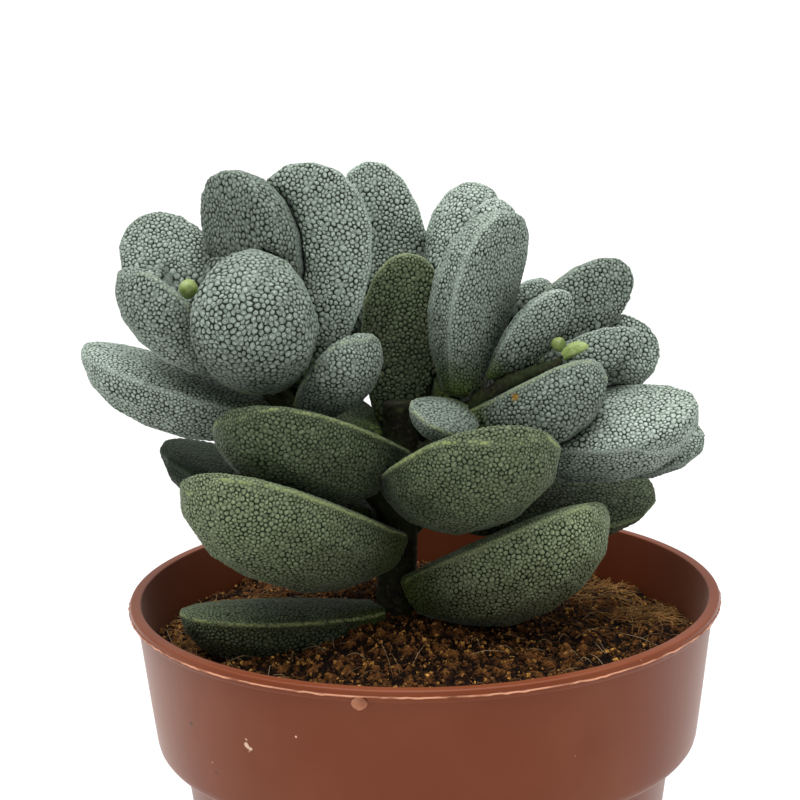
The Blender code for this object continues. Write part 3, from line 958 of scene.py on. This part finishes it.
def owners(places, edges, spots):
    """For each place, the spot whose grain it belongs to: the nearest one that it is joined
    to over the skin."""
    finder = finder_of(spots)
    owner = np.array([finder.find(place)[1] for place in places])
    island = islands(len(places), edges[owner[edges[:, 0]] == owner[edges[:, 1]]])
    sizes = np.bincount(island, minlength=len(places))
    roots = np.flatnonzero(sizes)
    roots = roots[np.argsort(sizes[roots])]
    largest = np.full(len(spots), -1)
    largest[owner[roots]] = roots
    owner[largest[owner] != island] = -1
    while (owner < 0).any():
        for a, b in ((edges[:, 0], edges[:, 1]), (edges[:, 1], edges[:, 0])):
            gap = (owner[a] < 0) & (owner[b] >= 0)
            owner[a[gap]] = owner[b[gap]]
    return owner


def mean_by(owner, values, count):
    """The mean of the values of each owner's places."""
    sums = [np.bincount(owner, values[:, k], count) for k in range(values.shape[1])]
    return np.stack(sums, 1) / np.maximum(np.bincount(owner, minlength=count), 1)[:, None]


def grain_net(places, normals, corners, edges, reach, rng):
    """The grains' centres and normals, the triangles that join each three that meet, and the
    point of the skin at each centre. Grains that meet in no clean triangle are dropped."""
    finder = finder_of(places)
    picked = spread(places, reach, rng, finder)
    spots = places[picked]
    for _ in range(GRAIN_ROUNDS):
        owner = owners(places, edges, spots)
        sizes = np.bincount(owner, minlength=len(spots))
        meet = owner[corners]
        apart = (meet[:, 0] != meet[:, 1]) & (meet[:, 1] != meet[:, 2]) & (meet[:, 0] != meet[:, 2])
        meet = meet[apart]
        sides = np.concatenate([meet[:, [0, 1]], meet[:, [1, 2]], meet[:, [2, 0]]])
        code = sides[:, 0] * len(spots) + sides[:, 1]
        back = sides[:, 1] * len(spots) + sides[:, 0]
        found, counts = np.unique(code, return_counts=True)
        wrong = np.unique(np.concatenate([found[counts > 1], code[~np.isin(code, back)]]))
        lonely = np.setdiff1d(np.arange(len(spots)), meet)
        if not len(wrong) and not len(lonely):
            break
        a, b = wrong // len(spots), wrong % len(spots)
        drop = np.union1d(np.where(sizes[a] < sizes[b], a, b), lonely)
        keep = np.setdiff1d(np.arange(len(spots)), drop)
        spots = spots[keep]
    spot_normals = mean_by(owner, normals, len(spots))
    spot_normals /= np.linalg.norm(spot_normals, axis=1)[:, None]
    on_skin = np.array([finder.find(spot)[1] for spot in spots])
    rise = ((places[on_skin] - spots) * spot_normals).sum(1)
    return spots + spot_normals * rise[:, None], spot_normals, meet, on_skin


def eased(value, start, end):
    """0 before start, 1 after end, and a smooth rise between."""
    share = np.clip((value - start) / (end - start), 0, 1)
    return share * share * (3 - 2 * share)


def blade_measures(places, stem_finder):
    """For each point of a leaf, how far along it is, from 0 at the base to 1 at the tip, and
    how far from its margin, with the margin's line as (left place, right place) rows."""
    near_stem = np.array([stem_finder.find(place)[2] for place in places])
    base = places[near_stem <= np.quantile(near_stem, BASE_SHARE)].mean(0)
    middle = places.mean(0)
    axis = (middle - base) / np.linalg.norm(middle - base)
    tip = places[np.argmax((places - base) @ axis)]
    axis = (tip - base) / np.linalg.norm(tip - base)
    length = (places - base) @ axis
    along = (length - length.min()) / (length.max() - length.min())
    off = places - middle - np.outer((places - middle) @ axis, axis)
    ways = np.linalg.svd(off[:: max(1, len(off) // AXIS_SAMPLES)], full_matrices=False)[2]
    across = off @ ways[0]
    line = []
    for k in range(MARGIN_STATIONS):
        low, high = k / MARGIN_STATIONS, (k + 1) / MARGIN_STATIONS
        here = np.flatnonzero((along >= low) & (along < high))
        if len(here):
            line.append((places[here[np.argmax(across[here])]], places[here[np.argmin(across[here])]]))
    line = np.array(line)
    for _ in range(2):
        line[1:-1] = (line[:-2] + 2 * line[1:-1] + line[2:]) / 4
    rope = np.concatenate([line[:, 0], tip[None], line[::-1, 1]])
    fine = []
    for start, end in zip(rope, rope[1:]):
        fine += [start + (end - start) * step / MARGIN_STEPS for step in range(MARGIN_STEPS)]
    margin_finder = finder_of(fine)
    margin = np.array([margin_finder.find(place)[2] for place in places])
    return along, margin, line


plant_surface = surface_of([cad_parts[name].data for name in sorted(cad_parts)])


def openness(places, normals, finder, rng):
    """Three measures of each place on a leaf, from 0 to 1: the share of rays from it that
    leave the plant, the share that leave it upwards, and how far the camera sees the place."""
    rays = rng.normal(size=(OPEN_RAYS, 3))
    rays /= np.linalg.norm(rays, axis=1)[:, None]
    picked = spread(places, np.full(len(places), OPEN_SAMPLE), rng, finder)
    shares = []
    for k in picked:
        start = places[k] + normals[k] * RAY_START
        to_eye = eye - Vector(start)
        facing = to_eye.normalized() @ Vector(normals[k]) > TURNED_AWAY
        shown = facing and plant_surface.ray_cast(Vector(start), to_eye)[0] is None
        clear = sunlit = 0
        for ray in rays:
            way = ray if ray @ normals[k] > 0 else -ray
            if plant_surface.ray_cast(Vector(start), Vector(way), OPEN_REACH)[0] is None:
                clear += 1
                sunlit += way[2] > 0
        shares.append((clear / OPEN_RAYS, sunlit / OPEN_RAYS, shown))
    samples = finder_of(places[picked])
    shares = np.array(shares)
    near = [[found[1] for found in samples.find_n(place, SAMPLES_MIXED)] for place in places]
    return np.array([shares[few].mean(0) for few in near])


def grain_mesh(spots, spot_normals, meet, height, rng):
    """The finished skin's points, faces and furrow shade: a plateau on each grain, and a furrow
    where two meet. The grains' points come first, then the furrows', then the rims'."""
    count, corners = len(spots), len(meet)
    middle = spots[meet].mean(1)
    middle_normal = spot_normals[meet].mean(1)
    middle_normal /= np.linalg.norm(middle_normal, axis=1)[:, None]
    tall = height * (1 + GRAIN_UNEVEN * rng.uniform(-1, 1, count))
    depth = rng.uniform(FURROW_LEAST, 1, corners)
    furrow = middle - middle_normal * (height[meet].mean(1) * depth)[:, None]
    top = GRAIN_TOP + TOP_UNLIKE * rng.uniform(-1, 1, count)
    share = top[meet][:, :, None]
    rim = spots[meet] * (1 - share) + middle[:, None] * share
    rim_normal = spot_normals[meet] * (1 - share) + middle_normal[:, None] * share
    rim = rim + rim_normal * ((tall - height)[meet] - TOP_ROUNDING * tall[meet])[:, :, None]
    spot_places = spots + spot_normals * (tall - height)[:, None]
    side_of = {(meet[k, c], meet[k, (c + 1) % 3]): (k, c) for k in range(corners) for c in range(3)}
    faces = []
    for (a, b), (k, c) in side_of.items():
        if a > b:
            continue
        j, d = side_of[b, a]
        first, second = count + corners + 3 * k, count + corners + 3 * j
        a_left, b_left = first + c, first + (c + 1) % 3
        b_right, a_right = second + d, second + (d + 1) % 3
        left, right = count + k, count + j
        faces.append((a, a_right, a_left))
        faces.append((b, b_left, b_right))
        faces.append((a_left, a_right, right, left))
        faces.append((b_left, left, right, b_right))
    shade = np.concatenate([np.zeros(count), depth, np.full(corners * 3, RIM_SHADE)])
    return np.concatenate([spot_places, furrow, rim.reshape(-1, 3)]), faces, shade


def on_grains(values, meet):
    """A grain's value at all its points, in the order that grain_mesh puts them."""
    return np.concatenate([values, values[meet].mean(1), values[meet].ravel()])


# The waxy skin's colours. A ramp runs from bare green, painted near black at its foot for leaves in deep
# shade, to thick white wax, and each leaf has its place on it. Each leaf's place was set to how bright
# the leaf looks, so besides its wax it holds painted light and shade: the low leaf at the back on the
# left is set below the ramp's foot for its shade. The leaves on the trunk are yellower, and every base is
# fleshy green.
WAXINESS_LIGHT_AND_SHADE = {
    "leaf_back_left": 0.98,
    "leaf_back_right": 0.88,
    "leaf_back_right_far": 0.9,
    "leaf_left_outer": 0.84,
    "leaf_left_top_back": 0.8,
    "leaf_left_top_front": 0.54,
    "leaf_left_round_front": 0.62,
    "leaf_left_side": 0.64,
    "leaf_left_small_right": 0.6,
    "leaf_right_outer": 0.82,
    "leaf_right_inner": 0.88,
    "leaf_right_tall": 0.73,
    "leaf_right_front": 0.56,
    "leaf_right_top": 0.6,
    "leaf_right_small_left": 0.55,
    "leaf_low_front_left": 0.47,
    "leaf_low_front_right": 0.6,
    "leaf_mid_front_left": 0.23,
    "leaf_mid_front_right": 0.34,
    "leaf_floor_front_left": 0.36,
    "leaf_centre_upright": 0.52,
    "leaf_low_back_right": 0.24,
    "leaf_low_back_left": -0.1,
    "leaf_low_back": 0.2,
    "leaf_mid_back_left": 0.3,
    "leaf_mid_back_right": 0.3,
}
OTHER_WAXINESS = 0.72
WAX_UNLIKE = 0.12
WAX_AT_BASE = 0.4
# How far down the wax ramp the painted shade between the leaves takes a spot
PAINTED_SHADE_WAX = 0.5
WAX_STEPS = (
    (0.0, (0.020, 0.036, 0.022)),
    (0.25, (0.148, 0.182, 0.150)),
    (0.5, (0.288, 0.350, 0.292)),
    (0.75, (0.490, 0.590, 0.500)),
    (1.0, (0.720, 0.850, 0.740)),
)
WAX_TINT = (1.0, 1.0, 1.0)
TRUNK_TINT = (1.0, 1.0, 0.68)
TRUNK_LEAVES = ("leaf_low", "leaf_mid", "leaf_floor", "leaf_centre")
BASE_FLESH = (0.12, 0.17, 0.03)
BASE_FLESHINESS = 0.85
# The furrows' dark green, painted near black with the shade in them
FURROW_GREEN_AND_SHADE = (0.005, 0.011, 0.003)
RIM_PAINTED_SHADE = 0.33
MARGIN = (0.28, 0.33, 0.13)
CRACKS = 2300
CRACK_DEPTH = 0.65
FURROW_UNDER_MARGIN_HIGHLIGHT = 0.2
WAX_PATCHES = 130
WAX_FLECKS = 3200
WAX_SHEEN = (0.86, 1.0, 0.9)
SPOT_PIXEL = (515, 397)
SPOT_SIZE = 0.75 * MM
SPOT_BROWN = (0.30, 0.17, 0.03)
CARRIED = ("furrow", "tone", "along", "margin", "wax", "sunlit", "trunk")


def at_least(tree, least, share):
    """A share from 0 to 1, narrowed to run from a least value to 1."""
    return maths(tree, "ADD", times(tree, share, 1 - least), least)


leaf_look, tree, shader = new_look("waxy_leaf", roughness=0.6, specular=0.15)
broad, fine = uneven(tree, WAX_PATCHES, WAX_FLECKS)
carried = {name: point_value(tree, name) for name in CARRIED}
grown = at_least(tree, WAX_AT_BASE, part_way(tree, carried["along"], 0.0, 0.38))
# Painted shade: a spot's colour is taken down the wax ramp, to half its place, where few rays from it
# leave the plant upwards, as where shade falls between the leaves
painted_sky_shade = at_least(tree, PAINTED_SHADE_WAX, part_way(tree, carried["sunlit"], 0.0, 0.5))
wax_light_and_shade = times(tree, times(tree, grown, painted_sky_shade), carried["wax"])

# The tone and the two unevennesses average a half each, so less 1.5 they average nothing
chance = maths(tree, "ADD", carried["tone"], maths(tree, "ADD", broad, fine))
unlike = times(tree, maths(tree, "SUBTRACT", chance, 1.5), WAX_UNLIKE)
ramp = add(tree, "ValToRGB", Fac=maths(tree, "ADD", wax_light_and_shade, unlike))
steps = ramp.color_ramp.elements
for _ in WAX_STEPS[2:]:
    steps.new(0.5)
for step, (at, colour) in zip(steps, WAX_STEPS):
    step.position = at
    step.color = (*colour, 1)
tint = blend(tree, carried["trunk"], WAX_TINT, TRUNK_TINT)
tinted = add(tree, "VectorMath", {"operation": "MULTIPLY"}, _0=ramp.outputs["Color"], _1=tint)
basal = times(tree, part_way(tree, carried["along"], 0.3, 0.0), BASE_FLESHINESS)
cap = blend(tree, basal, tinted.outputs["Vector"], BASE_FLESH)
# Painted shade: each grain's cap darkens a third of the way to the furrows' near black at its rim
rim = times(tree, part_way(tree, carried["furrow"], 0.0, RIM_SHADE), RIM_PAINTED_SHADE)
cap = blend(tree, rim, cap, FURROW_GREEN_AND_SHADE)

# The furrows between the grains, dark green and painted near black with the shade that falls in them, the
# darker the deeper each furrow is, and fine cracks in the wax of the grains themselves, painted the same
# near black
place = add(tree, "TexCoord").outputs["Object"]
cells = add(tree, "TexVoronoi", {"feature": "DISTANCE_TO_EDGE"}, Vector=place, Scale=CRACKS)
thin = part_way(tree, cells.outputs["Distance"], 0.14, 0.02)
crack = times(tree, thin, part_way(tree, fine, 0.35, 0.6))
painted_furrow_shade = part_way(tree, carried["furrow"], RIM_SHADE, 0.55)
painted_furrow_shade = maths(tree, "MAXIMUM", painted_furrow_shade, times(tree, crack, CRACK_DEPTH))
# Painted highlight: within about half a millimetre of the margin, where the skin is smoother, the furrows
# fade to a fifth of their darkness, making a pale band along each outline
inner = at_least(tree, FURROW_UNDER_MARGIN_HIGHLIGHT, part_way(tree, carried["margin"], 0.0, 0.2))
skin = blend(tree, times(tree, painted_furrow_shade, inner), cap, FURROW_GREEN_AND_SHADE)

# The pale line of the margin, which shows on leaves with a middling coat of wax
plain = times(tree, part_way(tree, carried["wax"], 0.75, 0.35), part_way(tree, carried["wax"], 0.1, 0.35))
edge = times(tree, part_way(tree, carried["margin"], 0.12, 0.02), plain)
skin = blend(tree, edge, skin, MARGIN)

# One small brown spot on a leaf of the right branch
spot = leaf_surface.ray_cast(eye, sight(SPOT_PIXEL))[0]
spotted = patch(tree, spot, SPOT_SIZE, 0.3, maths(tree, "ADD", fine, 0.5))
skin = blend(tree, spotted, skin, SPOT_BROWN)
tree.links.new(skin, shader.inputs["Base Color"])
relief(tree, shader, maths(tree, "SUBTRACT", fine, crack), strength=0.5, distance=0.06 * MM)
sheen(shader, weight=0.3, roughness=0.2, tint=WAX_SHEEN)

stem_finder = finder_of([v.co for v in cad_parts["stem"].data.vertices])
blades = [name for name in leaf_nodes if not name.endswith(("_tip", "_tip_a", "_tip_b"))]
margin_lines = {}
for name in blades:
    rng = np.random.default_rng(100 + leaf_nodes.index(name))
    places, normals, corners, edges = smooth_skin(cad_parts[name], SKIN_STEP, SKIN_SMOOTHING)
    along, margin, margin_lines[name] = blade_measures(places, stem_finder)
    clear, sunlit, shown = openness(places, normals, finder_of(places), rng).T
    grain = BROAD_GRAIN if name in BROAD_GRAINED else GRAIN
    if name in BROAD_GRAINED:
        margin = np.maximum(margin, MARGIN_BAND)
    reach = HIDDEN_GRAIN + (BACK_GRAIN - HIDDEN_GRAIN) * eased(clear, 0, OPEN_SHARE)
    reach = reach + (grain - reach) * eased(shown, 0, SHOWN_SHARE)
    reach = reach * (MARGIN_GRAIN + (1 - MARGIN_GRAIN) * eased(margin, *MARGIN_GRAIN_ENDS))
    ridge = MARGIN_RIDGE * np.exp(-((margin / RIDGE_WIDTH) ** 2)) * eased(along, *RIDGE_START)
    places = places + normals * ridge[:, None]
    reach = reach * (1 + GRAIN_UNLIKE * rng.uniform(-1, 1, len(reach)))
    spots, spot_normals, meet, on_skin = grain_net(places, normals, corners, edges, reach, rng)
    fade = eased(margin[on_skin], LOW_GRAIN_MARGIN, MARGIN_BAND) * eased(along[on_skin], *LOW_GRAIN_BASE)
    height = GRAIN_HEIGHT * (LOW_GRAIN + (1 - LOW_GRAIN) * fade)
    points, faces, shade = grain_mesh(spots, spot_normals, meet, height, rng)
    leaf = skin_piece(name + "_skin", points, faces, leaf_look, name)
    attribute(leaf.data, "along", on_grains(along[on_skin], meet))
    attribute(leaf.data, "margin", on_grains(np.minimum(margin[on_skin] / MARGIN_REACH, 1), meet))
    attribute(leaf.data, "sunlit", on_grains(sunlit[on_skin], meet))
    attribute(leaf.data, "tone", on_grains(rng.uniform(0, 1, len(spots)), meet))
    # Each leaf's place on the ramp: its wax, with painted light and shade
    attribute(leaf.data, "wax", np.full(len(points), WAXINESS_LIGHT_AND_SHADE.get(name, OTHER_WAXINESS)))
    attribute(leaf.data, "trunk", np.full(len(points), name.startswith(TRUNK_LEAVES)))
    attribute(leaf.data, "furrow", shade)

# The growing tips. Five young leaves, still smooth, soft and bright green, in the middle of
# each branch's rosette. Their solids' own forms are meshed evenly and smoothed.
TIP_STEP = 0.2 * MM
TIP_SMOOTHING = 25
YOUNG_GREEN = (0.20, 0.30, 0.05)
YOUNG_YELLOW = (0.32, 0.40, 0.13)
YOUNG_BLOOM = (0.38, 0.45, 0.24)

tip_look, tree, shader = new_look("young_leaf", roughness=0.45, specular=0.4)
broad, fine = uneven(tree, 500, 4000)
young = blend(tree, part_way(tree, broad, 0.35, 0.65), YOUNG_GREEN, YOUNG_YELLOW)
young = blend(tree, part_way(tree, fine, 0.5, 0.7), young, YOUNG_BLOOM)
tree.links.new(young, shader.inputs["Base Color"])
relief(tree, shader, fine, strength=0.3, distance=0.05 * MM)
for name in leaf_nodes:
    if name not in blades:
        places, _, corners, _ = smooth_skin(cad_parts[name], TIP_STEP, TIP_SMOOTHING)
        skin_piece(name + "_skin", places, corners, tip_look, name)

# The margin hairs. Stiff pale hairs, well under a millimetre long, along the lower third of
# each leaf's two margins. Each is a thin three-sided cone, and they are all one mesh.
HAIR_STEP = 0.42 * MM
HAIR_LENGTH = 0.38 * MM
HAIR_LENGTHS = (0.6, 1.2)
HAIR_RADIUS = 0.035 * MM
HAIR_ROOT = HAIR_LENGTH * 0.4
HAIR_STRAY = 0.3
HAIR_REACH = 0.36
HAIR_OLIVE = (0.40, 0.45, 0.26)
HAIR_PALE = (0.62, 0.66, 0.52)


def unit(way):
    """A direction as an array of length 1."""
    return way / np.linalg.norm(way)


hair_points, hair_faces = [], []
rng = np.random.default_rng(23)
for name in blades:
    line = margin_lines[name]
    for side in (0, 1):
        edge = line[: int(len(line) * HAIR_REACH), side]
        other = line[: len(edge), 1 - side]
        for k in range(1, len(edge) - 1):
            span = np.linalg.norm(edge[k + 1] - edge[k])
            for step in np.arange(0, span, HAIR_STEP):
                root = edge[k] + (edge[k + 1] - edge[k]) * step / span
                out = unit(unit(edge[k] - other[k]) + rng.normal(0, HAIR_STRAY, 3))
                aside = unit(np.cross(out, (edge[k + 1] - edge[k]) / span))
                upward = np.cross(out, aside)
                first = len(hair_points)
                for turn in (0, math.tau / 3, 2 * math.tau / 3):
                    ring = aside * math.cos(turn) + upward * math.sin(turn)
                    hair_points.append(root - out * HAIR_ROOT + ring * HAIR_RADIUS)
                hair_points.append(root + out * HAIR_LENGTH * rng.uniform(*HAIR_LENGTHS))
                hair_faces += [(first + a, first + b, first + 3) for a, b in ((0, 1), (1, 2), (2, 0))]
                hair_faces.append((first + 2, first + 1, first))
hair_mesh = bpy.data.meshes.new("margin_hairs")
hair_mesh.from_pydata(hair_points, [], hair_faces)
hairs = placed("margin_hairs", hair_mesh)
hair_look, tree, shader = new_look("pale_hair", roughness=0.5, specular=0.4)
broad, _ = uneven(tree, 300, 3000)
tree.links.new(blend(tree, broad, HAIR_OLIVE, HAIR_PALE), shader.inputs["Base Color"])
hair_mesh.materials.append(hair_look)
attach(hairs, "root")

# The floor. A plain pale sheet for the pot to stand on, one square plane that reaches far
# out of the picture.
FLOOR_SIZE = 60
FLOOR_COLOUR = (0.72, 0.72, 0.72)

bpy.ops.object.select_all(action="DESELECT")
bpy.ops.mesh.primitive_plane_add(size=FLOOR_SIZE, location=(0, 0, 0))
floor = bpy.context.object
floor.name = "floor"
floor_look, tree, shader = new_look("pale_floor", roughness=0.9, specular=0.2)
shader.inputs["Base Color"].default_value = (*FLOOR_COLOUR, 1)
floor.data.materials.append(floor_look)

# The light. A pale room lit from all round, and one wide soft light overhead,
# so that the floor is white and the gaps between the leaves stay dark.
SKY_STRENGTH = 0.55
SUN_STRENGTH = 3.6
SUN_WIDTH = math.radians(70)
SUN_FROM = Vector((-0.06, 0.04, 1))

sky = bpy.data.worlds.new("studio")
bpy.context.scene.world = sky
sky.use_nodes = True
sky.node_tree.nodes["Background"].inputs["Color"].default_value = (1, 1, 1, 1)
sky.node_tree.nodes["Background"].inputs["Strength"].default_value = SKY_STRENGTH
bpy.ops.object.light_add(type="SUN")
sun = bpy.context.object
sun.name = "overhead_light"
sun.data.energy = SUN_STRENGTH
sun.data.angle = SUN_WIDTH
sun.rotation_euler = SUN_FROM.to_track_quat("Z", "Y").to_euler()
bpy.context.scene.view_settings.view_transform = "Standard"
